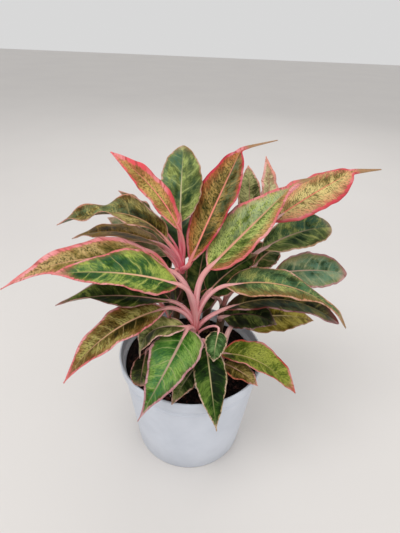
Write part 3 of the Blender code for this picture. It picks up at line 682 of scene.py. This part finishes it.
def make_pot(finish):
    """The pot: a base disc drawn up and round into the wall, the rim and the inside."""
    rings = [(wall_radius(0) - 0.4, 0.4)]
    rings += [(wall_radius(height), height) for height in (1.2, 40, 80)]
    for drop in BEAD_DROPS:
        bead = UNDER_RIM - drop
        rings += [(wall_radius(bead - 0.9), bead - 0.9), (wall_radius(bead) + BEAD_HEIGHT, bead - 0.3),
                  (wall_radius(bead) + BEAD_HEIGHT, bead + 0.3), (wall_radius(bead + 0.9), bead + 0.9)]
    rings += [
        (wall_radius(UNDER_RIM) + 0.1, UNDER_RIM - 0.6),
        (RIM_RADIUS - 1.6, UNDER_RIM),
        (RIM_RADIUS - 1.0, UNDER_RIM + 0.5),
        (RIM_RADIUS - 0.6, UNDER_RIM + 3),
        (RIM_RADIUS - 0.2, UNDER_RIM + 7.5),
        (RIM_RADIUS, POT_HEIGHT - 1.4),
        (RIM_RADIUS - 0.2, POT_HEIGHT - 0.5),
        (RIM_RADIUS - 0.8, POT_HEIGHT),
        (RIM_RADIUS - POT_WALL + 0.6, POT_HEIGHT),
        (RIM_RADIUS - POT_WALL, POT_HEIGHT - 0.6),
        (RIM_RADIUS - POT_WALL - 0.6, UNDER_RIM + 2),
        (wall_radius(UNDER_RIM) - POT_WALL, UNDER_RIM - 1),
        (wall_radius(60) - POT_WALL, 60),
        (wall_radius(POT_WALL + 2) - POT_WALL, POT_WALL + 2),
        (wall_radius(0) - POT_WALL - 2, POT_WALL),
    ]
    radius, height = wall_radius(0) - 1.5, 0.0
    bpy.ops.object.select_all(action="DESELECT")
    bpy.ops.mesh.primitive_circle_add(vertices=POT_SIDES, radius=radius * MM, fill_type="NGON")
    pot = bpy.context.object
    edit(pot)
    for next_radius, next_height in rings:
        draw_out(next_height - height, next_radius / radius, next_height)
        radius, height = next_radius, next_height
    bpy.ops.mesh.select_all(action="SELECT")
    bpy.ops.mesh.normals_make_consistent(inside=False)
    bpy.ops.object.mode_set(mode="OBJECT")
    for index in range(DRAIN_HOLES):
        angle = 2 * math.pi * index / DRAIN_HOLES
        spot = (DRAIN_CIRCLE * math.cos(angle) * MM, DRAIN_CIRCLE * math.sin(angle) * MM, 0)
        bpy.ops.object.select_all(action="DESELECT")
        bpy.ops.mesh.primitive_cylinder_add(vertices=32, radius=DRAIN_RADIUS * MM, depth=0.02,
                                            location=spot)
        drain = bpy.context.object
        cut = pot.modifiers.new("Drain", "BOOLEAN")
        cut.object = drain
        apply_all(pot)
        bpy.data.objects.remove(drain)
    pick(pot)
    bpy.ops.object.shade_smooth_by_angle(angle=math.radians(35))
    cover(pot, finish)
    deliver(pot, "nursery_pot", "pot")


# ---------------------------------------------------------------- soil
def soil_top(x, y):
    """The height of the loose, slightly heaped soil."""
    heap = 1.5 * math.cos(0.02 * math.hypot(x, y))
    return SOIL_LEVEL + heap + 1.1 * math.sin(0.13 * x + 1) * math.sin(0.11 * y + 2)


def soil_radius(height):
    return POT_BASE_RADIUS - POT_WALL - SOIL_GAP + WALL_SLOPE * height


def make_soil(finish):
    """The filling: a plug of the pot's inside with a crumbly top."""
    bpy.ops.object.select_all(action="DESELECT")
    bpy.ops.mesh.primitive_cylinder_add(vertices=SOIL_SIDES, radius=soil_radius(SOIL_LEVEL) * MM,
                                        depth=(SOIL_LEVEL - SOIL_FLOOR) * MM,
                                        location=(0, 0, (SOIL_LEVEL + SOIL_FLOOR) / 2 * MM))
    soil = bpy.context.object
    bpy.ops.object.transform_apply(location=True, rotation=True, scale=True)
    edit(soil)
    bpy.ops.mesh.select_all(action="DESELECT")
    shape = bmesh.from_edit_mesh(soil.data)
    for face in shape.faces:
        face.select = face.normal.z > 0.9
    bmesh.update_edit_mesh(soil.data)
    now = soil_radius(SOIL_LEVEL)
    for radius in np.linspace(now, 2, SOIL_RINGS)[1:]:
        draw_out(0, radius / now, SOIL_LEVEL)
        now = radius
    bpy.ops.object.mode_set(mode="OBJECT")
    low = soil_radius(SOIL_FLOOR)
    for vertex in soil.data.vertices:
        x, y = vertex.co.x / MM, vertex.co.y / MM
        if vertex.co.z < (SOIL_FLOOR + 1) * MM:
            flat = vertex.co.to_2d().length
            vertex.co.x *= low * MM / flat
            vertex.co.y *= low * MM / flat
            continue
        edge = min(1, (soil_radius(SOIL_LEVEL) - math.hypot(x, y)) / 3)
        crumbs = noise.fractal(Vector((x, y, 0)) * 0.22, 0.7, 2.2, 4)
        lumps = noise.noise(Vector((x, y, 5)) * 0.5)
        vertex.co.z = (soil_top(x, y) - 0.6 + edge * (1.1 * crumbs + 0.7 * lumps)) * MM
    bpy.ops.object.shade_smooth()
    cover(soil, finish)
    deliver(soil, "potting_mix", "soil")


def scatter(name, count, sizes, stretch, seed, finish):
    """Loose grains on the soil, joined as one piece."""
    draw = random.Random(seed)
    bpy.ops.object.select_all(action="DESELECT")
    bpy.ops.mesh.primitive_ico_sphere_add(subdivisions=1, radius=1)
    grain = bpy.context.object
    base = np.array([v.co for v in grain.data.vertices])
    faces = [tuple(p.vertices) for p in grain.data.polygons]
    bpy.data.objects.remove(grain)
    points, polygons = [], []
    for _ in range(count):
        radius = GRAIN_REACH * math.sqrt(draw.random())
        angle = draw.uniform(0, 2 * math.pi)
        x, y = radius * math.cos(angle), radius * math.sin(angle)
        size = draw.uniform(*sizes)
        rough = np.array([draw.uniform(0.7, 1.2) for _ in base])[:, None]
        spin = Matrix.Rotation(draw.uniform(0, 6.28), 3, "Z") @ Matrix.Rotation(
            draw.uniform(-0.5, 0.5), 3, "X")
        body = base * rough * np.array(stretch) * size
        body = body @ np.array(spin).T
        height = soil_top(x, y) + size * min(stretch) * (1 - 2 * GRAIN_SINK)
        first = len(points)
        points += [((px + x) * MM, (py + y) * MM, (pz + height) * MM) for px, py, pz in body]
        polygons += [tuple(first + i for i in face) for face in faces]
    mesh = bpy.data.meshes.new(name)
    mesh.from_pydata(points, [], polygons)
    thing = bpy.data.objects.new(name, mesh)
    bpy.context.scene.collection.objects.link(thing)
    cover(thing, finish)
    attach(thing, "root")


# ---------------------------------------------------------------- materials
class Web:
    """Short ways to add and join the nodes of one node tree."""

    def __init__(self, tree):
        self.tree = tree

    def add(self, kind, feeds=(), **settings):
        node = self.tree.nodes.new(kind)
        for key, value in settings.items():
            setattr(node, key, value)
        for socket, value in dict(feeds).items():
            self.feed(node.inputs[socket], value)
        return node

    def feed(self, socket, value):
        if isinstance(value, bpy.types.NodeSocket):
            self.tree.links.new(value, socket)
        elif isinstance(value, tuple):
            socket.default_value = (*value, 1)
        else:
            socket.default_value = value

    def calc(self, operation, *values):
        return self.add("ShaderNodeMath", enumerate(values), operation=operation).outputs[0]

    def times(self, first, second):
        return self.calc("MULTIPLY", first, second)

    def minus(self, first, second):
        return self.calc("SUBTRACT", first, second)

    def scaled(self, value, by, plus):
        """The value times by, with plus added."""
        return self.calc("MULTIPLY_ADD", value, by, plus)

    def ease(self, value, low, high, to_low=0.0, to_high=1.0):
        """A smooth step from to_low to to_high as the value goes from low to high."""
        node = self.add("ShaderNodeMapRange", {0: value, 1: low, 2: high, 3: to_low, 4: to_high},
                        interpolation_type="SMOOTHSTEP")
        return node.outputs[0]

    def mix(self, factor, first, second, blend="MIX"):
        node = self.add("ShaderNodeMix", {0: factor, 6: first, 7: second}, data_type="RGBA",
                        blend_type=blend)
        return node.outputs[2]

    def vector(self, x, y, z):
        return self.add("ShaderNodeCombineXYZ", {0: x, 1: y, 2: z}).outputs[0]

    def noise(self, vector, scale=1.0, detail=2.0, roughness=0.5):
        feeds = {"Vector": vector, "Scale": scale, "Detail": detail, "Roughness": roughness}
        return self.add("ShaderNodeTexNoise", feeds).outputs["Fac"]

    def bump(self, height, strength, distance):
        feeds = {"Height": height, "Strength": strength, "Distance": distance}
        return self.add("ShaderNodeBump", feeds).outputs[0]

    def where(self):
        """The place on the piece, in metres."""
        return self.add("ShaderNodeTexCoord").outputs["Object"]

    def places(self, name):
        """The three numbers that lay_grid kept with each point under this name."""
        place = self.add("ShaderNodeAttribute", attribute_name=name).outputs["Vector"]
        return list(self.add("ShaderNodeSeparateXYZ", {0: place}).outputs)

    def surface(self, colour, roughness, specular=0.5, normal=None):
        """Feeds the material's own shader."""
        inputs = self.tree.nodes["Principled BSDF"].inputs
        self.feed(inputs["Base Color"], colour)
        self.feed(inputs["Roughness"], roughness)
        self.feed(inputs["Specular IOR Level"], specular)
        if normal:
            self.feed(inputs["Normal"], normal)


def plain(name):
    """A new material and its node web."""
    made = bpy.data.materials.new(name)
    made.use_nodes = True
    return made, Web(made.node_tree)


def leaf_pattern():
    """The variegation of a blade, as a node group that every leaf finish uses."""
    group = bpy.data.node_groups.new("Leaf variegation", "ShaderNodeTree")

    def socket(name, kind="Float", way="INPUT"):
        group.interface.new_socket(name, in_out=way, socket_type=f"NodeSocket{kind}")

    for name in COLOURS:
        socket(name, "Color")
    for name in NUMBERS + MEASURES:
        socket(name)
    for name in PAIRS:
        socket(f"{name} left")
        socket(f"{name} right")
    socket("colour", "Color", "OUTPUT")
    socket("roughness", way="OUTPUT")
    socket("height", way="OUTPUT")

    web = Web(group)
    ease, mix, times, minus, scaled = web.ease, web.mix, web.times, web.minus, web.scaled
    given = web.add("NodeGroupInput").outputs
    across, along, inward = web.places("blade")
    out = web.calc("ABSOLUTE", across)
    right = web.calc("GREATER_THAN", across, 0.0)
    seed = scaled(right, 3.7, times(given["seed"], 11.3))
    share = web.calc("DIVIDE", along, given["length"])

    def field(first, by, second, spread, shift, detail, rough):
        """A noise over two leaf coordinates, each with its own scale per mm."""
        spot = web.vector(times(first, by), times(second, spread), web.calc("ADD", seed, shift))
        return web.noise(spot, 1.0, detail, rough)

    def sided(name):
        """A paired number, as it is for this half of the blade."""
        left = given[f"{name} left"]
        return scaled(right, minus(given[f"{name} right"], left), left)

    # Broad patches, and streaks, threads and dashes that follow the side veins
    patch = field(along, 0.040, across, 0.07, 40.0, 2.0, 0.5)
    curve = scaled(times(out, out), -VEIN_CURL, scaled(out, -VEIN_LEAN, along))
    curve = scaled(field(along, 0.04, across, 0.03, 20.0, 1.0, 0.5), 16.0, curve)
    streak = field(curve, 0.36, out, 0.07, 0.0, 2.0, 0.6)
    thread = field(curve, 1.9, out, 0.36, 60.0, 2.0, 0.6)
    dash = field(curve, 1.5, out, 0.55, 80.0, 1.0, 0.5)
    offset = scaled(right, 4.0, times(given["seed"], 2.9))
    vein = web.calc("PINGPONG", web.calc("ADD", curve, offset), VEIN_SPACING / 2)
    halo = ease(vein, 0.0, 3.0, 0.06, -0.01)
    amount = scaled(thread, 0.42, scaled(streak, 0.26, scaled(patch, 0.78, halo)))
    level = scaled(given["cover"], 0.36, minus(amount, 0.87))
    colour = mix(ease(level, -0.18, -0.01), given["deep"], given["body"])
    colour = mix(ease(level, -0.04, 0.12), colour, given["bright"])
    colour = mix(times(ease(dash, 0.50, 0.60), given["mottle"]), colour, given["deep"])
    # A cloudy painted sheen, the reflection of the bright room painted in as colour, stronger away from
    # the base
    cloud = ease(field(along, 0.10, across, 0.16, 90.0, 2.0, 0.55), 0.36, 0.56)
    cloud = times(cloud, ease(thread, 0.40, 0.58, 1.0, 0.35))
    far = times(ease(share, 0.05, 0.6), sided("sheen_share"))
    colour = mix(times(far, cloud), colour, given["painted_sheen"])
    # Side veins, pale and thin, fading towards the margin
    thin = ease(vein, 0.10, 0.50, 1.0, 0.0)
    clear = times(thin, times(ease(inward, 1.0, 8.0), ease(streak, 0.3, 0.6)))
    colour = mix(times(clear, given["vein"]), colour, mix(0.5, given["bright"], given["rib"]))

    # A mottled blush inside the margin
    wander = scaled(thread, 9.0, scaled(streak, 9.0, -9.0))
    near = web.calc("DIVIDE", web.calc("ADD", inward, wander), sided("reach"))
    near = times(ease(near, 0.1, 1.0, 1.0, 0.0), ease(dash, 0.34, 0.60, 1.0, 0.35))
    colour = mix(times(near, sided("flush")), colour, given["blush"])
    # The margin itself, broken up along its inner side, and running into the point
    wander = scaled(dash, 2.0, scaled(streak, 3.4, -2.7))
    edge = minus(web.calc("ADD", inward, wander), sided("margin_width"))
    edge = times(ease(edge, -0.5, 0.6, 1.0, 0.0), ease(thread, 0.32, 0.52, 0.55, 1.0))
    point = times(ease(share, 0.82, 1.0), given["tip"])
    point = times(point, ease(inward, 3.0, 9.0, 1.0, 0.3))
    # The paler patches are partly the margin's own paler pink and partly a painted highlight along the
    # edge
    paler = mix(0.40, given["margin"], (0.74, 0.50, 0.50))
    darker = mix(0.5, given["margin"], (0.20, 0.05, 0.04))
    rim = mix(ease(patch, 0.40, 0.62), given["margin"], paler)
    rim = mix(ease(streak, 0.52, 0.66), rim, darker)
    colour = mix(web.calc("MAXIMUM", edge, point), colour, rim)
    # A dry tail
    tail = ease(minus(share, given["tail"]), 0.0, 0.06)
    colour = mix(tail, colour, mix(streak, (0.20, 0.13, 0.06), (0.42, 0.26, 0.15)))
    # Midrib, narrowing to the tip
    width = times(given["rib_width"], ease(share, 0.0, 1.0, 1.0, 0.3))
    rib = ease(minus(out, width), -0.45, 0.35, 1.0, 0.0)
    rib = times(rib, ease(inward, 0.5, 3.0, 0.25, 1.0))
    rib = times(rib, ease(share, 0.45, 0.98, 1.0, 0.45))
    duller = mix(0.5, given["rib"], given["body"])
    colour = mix(rib, colour, mix(ease(share, 0.3, 0.9), given["rib"], duller))
    # Deeper darks and clearer lights, as in a well-lit leaf
    colour = web.add("ShaderNodeGamma", {"Color": colour, "Gamma": LEAF_CONTRAST}).outputs[0]
    colour = mix(1.0, colour, (LEAF_GAIN, LEAF_GAIN, LEAF_GAIN), "MULTIPLY")
    height = web.calc("ADD", scaled(thread, 0.5, times(streak, 0.5)), times(thin, -0.4))
    web.add("NodeGroupOutput", {"colour": colour, "roughness": scaled(streak, 0.24, 0.34),
                                "height": height})
    return group


def leaf_finish(leaf, seed, group):
    """A blade's own finish: the leaf pattern, fed with its row of colours and its length."""
    made, web = plain(f"blade_{leaf['name']}")
    look = {**MATURE, **FINISHES.get(leaf["name"], {})}
    _, _, tail_share, length = midrib(leaf, ARC_POINTS)
    feeds = {name: look[name] for name in COLOURS + NUMBERS}
    for name in PAIRS:
        feeds[f"{name} left"], feeds[f"{name} right"] = look[name]
    feeds.update(seed=seed, tail=1.02 - tail_share, length=length)
    pattern = web.add("ShaderNodeGroup", feeds, node_tree=group).outputs
    bump = web.bump(pattern["height"], 0.25, 0.0004)
    web.surface(pattern["colour"], pattern["roughness"], 0.09, bump)
    return made


def underside_finish():
    made, web = plain("blade_underside")
    across, along, inward = web.places("blade")
    out = web.calc("ABSOLUTE", across)
    curve = web.scaled(out, -0.8, along)
    spot = web.vector(web.times(curve, 0.4), web.times(out, 0.1), across)
    streak = web.noise(spot, 1.0, 3.0, 0.6)
    colour = web.mix(web.ease(streak, 0.35, 0.65), (0.060, 0.120, 0.050), (0.19, 0.24, 0.11))
    colour = web.mix(web.ease(inward, 0.6, 2.6, 1.0, 0.0), colour, (0.55, 0.22, 0.17))
    width = web.scaled(inward, 0.055, 0.35)
    rib = web.ease(web.calc("DIVIDE", out, width), 0.7, 1.4, 1.0, 0.0)
    web.surface(web.mix(rib, colour, (0.56, 0.34, 0.27)), web.scaled(streak, 0.2, 0.45))
    return made


def stem_finish(name, low, middle, high):
    """Pink stems: low at the cane, middle half way, high at the blade, and brown canes."""
    made, web = plain(name)
    share, turn, seed = web.places("stem")
    fibre = web.noise(web.vector(web.times(share, 3.0), web.times(turn, 5.0), seed), 1.0, 3.0, 0.6)
    height = web.scaled(fibre, 0.3, web.minus(share, 0.15))
    ramp = web.add("ShaderNodeValToRGB", {"Fac": height})
    ramp.color_ramp.elements[0].color = (*low, 1)
    ramp.color_ramp.elements[1].color = (*high, 1)
    ramp.color_ramp.elements.new(0.5).color = (*middle, 1)
    # Paler fibres: partly the stem's own pale streaks and partly a painted highlight
    paler = web.ease(fibre, 0.4, 0.75, 0.0, 0.45)
    colour = web.mix(paler, ramp.outputs["Color"], (0.86, 0.60, 0.55))
    colour = web.mix(web.calc("LESS_THAN", seed, -0.5), colour, (0.10, 0.06, 0.03))
    web.surface(colour, web.scaled(fibre, 0.2, 0.2), normal=web.bump(fibre, 0.3, 0.0004))
    return made


def pot_finish():
    made, web = plain("pot_plastic")
    where = web.where()
    cloud = web.noise(where, 22.0, 3.0, 0.6)
    grain = web.noise(where, 900.0, 2.0, 0.5)
    colour = web.mix(web.ease(cloud, 0.3, 0.7), (0.62, 0.66, 0.74), (0.70, 0.74, 0.82))
    web.surface(colour, web.scaled(cloud, 0.12, 0.36), normal=web.bump(grain, 0.05, 0.0002))
    return made


def soil_finish():
    made, web = plain("potting_mix")
    where = web.where()
    crumb = web.noise(where, 320.0, 5.0, 0.7)
    patch = web.noise(where, 90.0, 3.0, 0.6)
    colour = web.mix(web.ease(crumb, 0.42, 0.68), (0.003, 0.002, 0.002), (0.032, 0.015, 0.012))
    colour = web.mix(web.ease(patch, 0.60, 0.75, 0.0, 0.6), colour, (0.060, 0.020, 0.015))
    web.surface(colour, 0.9, 0.12, web.bump(crumb, 0.9, 0.0015))
    return made


def grain_finish(name, dark, light, scale, roughness):
    made, web = plain(name)
    spots = web.noise(web.where(), scale, 3.0, 0.6)
    web.surface(web.mix(web.ease(spots, 0.35, 0.65), dark, light), roughness, 0.2)
    return made


# ---------------------------------------------------------------- studio
def make_studio():
    """A pale floor, three soft lights and an even grey world."""
    bpy.ops.object.select_all(action="DESELECT")
    bpy.ops.mesh.primitive_plane_add(size=12)
    floor = bpy.context.object
    floor.name = "studio_floor"
    made, web = plain("studio_floor")
    soft = web.noise(web.where(), 3.0, 3.0, 0.5)
    web.surface(web.mix(soft, (0.65, 0.62, 0.60), (0.71, 0.68, 0.65)), 0.6)
    cover(floor, made)
    for name, (spot, aim, size, power) in LIGHTS.items():
        light = bpy.data.lights.new(name, "AREA")
        light.size = size
        light.energy = power
        lamp = bpy.data.objects.new(name, light)
        lamp.location = spot
        lamp.rotation_euler = (Vector(aim) - Vector(spot)).to_track_quat("-Z", "Y").to_euler()
        bpy.context.scene.collection.objects.link(lamp)
    world = bpy.data.worlds.new("studio")
    world.use_nodes = True
    background = world.node_tree.nodes["Background"].inputs
    background["Color"].default_value = (WORLD_GREY, WORLD_GREY, WORLD_GREY, 1)
    background["Strength"].default_value = WORLD_STRENGTH
    bpy.context.scene.world = world
    bpy.context.scene.view_settings.view_transform = "Standard"


def make_camera():
    """A hand-held view from above the plant's front edge."""
    yaw, pitch, roll = (math.radians(angle) for angle in CAMERA_TURN)
    forward = Vector((math.sin(yaw) * math.cos(pitch), math.cos(yaw) * math.cos(pitch),
                      -math.sin(pitch)))
    level = Vector((math.cos(yaw), -math.sin(yaw), 0))
    upright = level.cross(forward)
    right = math.cos(roll) * level + math.sin(roll) * upright
    up = -math.sin(roll) * level + math.cos(roll) * upright
    data = bpy.data.cameras.new("camera")
    data.sensor_width = 36
    data.lens = CAMERA_LENS
    data.clip_start = 0.01
    camera = bpy.data.objects.new("camera", data)
    turn = Matrix((right, up, -forward)).transposed().to_4x4()
    camera.matrix_world = Matrix.Translation(CAMERA_PLACE) @ turn
    bpy.context.scene.collection.objects.link(camera)
    bpy.context.scene.camera = camera


# ---------------------------------------------------------------- the whole plant
make_camera()
make_studio()
variegation = leaf_pattern()
underside = underside_finish()
for number, leaf_row in enumerate(BLADES):
    fine = make_blade(leaf_row, number, (leaf_finish(leaf_row, number, variegation), underside))
    leaf_name = leaf_row["name"]
    deliver(fine, f"blade_{leaf_name}", f"leaf_{leaf_name}")
stem_colours = {
    "front": stem_finish("stem_front", (0.60, 0.11, 0.13), (0.78, 0.34, 0.36), (0.76, 0.34, 0.30)),
    "rear": stem_finish("stem_rear", (0.66, 0.035, 0.10), (0.76, 0.17, 0.22), (0.66, 0.22, 0.16)),
    "right": stem_finish("stem_right", (0.40, 0.12, 0.10), (0.60, 0.30, 0.28), (0.66, 0.36, 0.33)),
}
for stem_name, stem_row in SHOOTS.items():
    make_stems(stem_name, stem_row, stem_colours.get(stem_name, stem_colours["right"]))
make_pot(pot_finish())
make_soil(soil_finish())
scatter("perlite", 26, (1.0, 1.9), (1.0, 0.9, 0.7), 5,
        grain_finish("perlite", (0.62, 0.60, 0.56), (0.85, 0.84, 0.82), 600.0, 0.8))
scatter("bark_bits", 240, (0.8, 2.2), (1.5, 0.8, 0.4), 8,
        grain_finish("bark_bits", (0.012, 0.006, 0.005), (0.085, 0.026, 0.018), 260.0, 0.85))
scatter("crumbs", 700, (0.5, 1.5), (1.0, 0.9, 0.7), 9,
        grain_finish("crumbs", (0.003, 0.002, 0.002), (0.020, 0.010, 0.008), 300.0, 0.95))
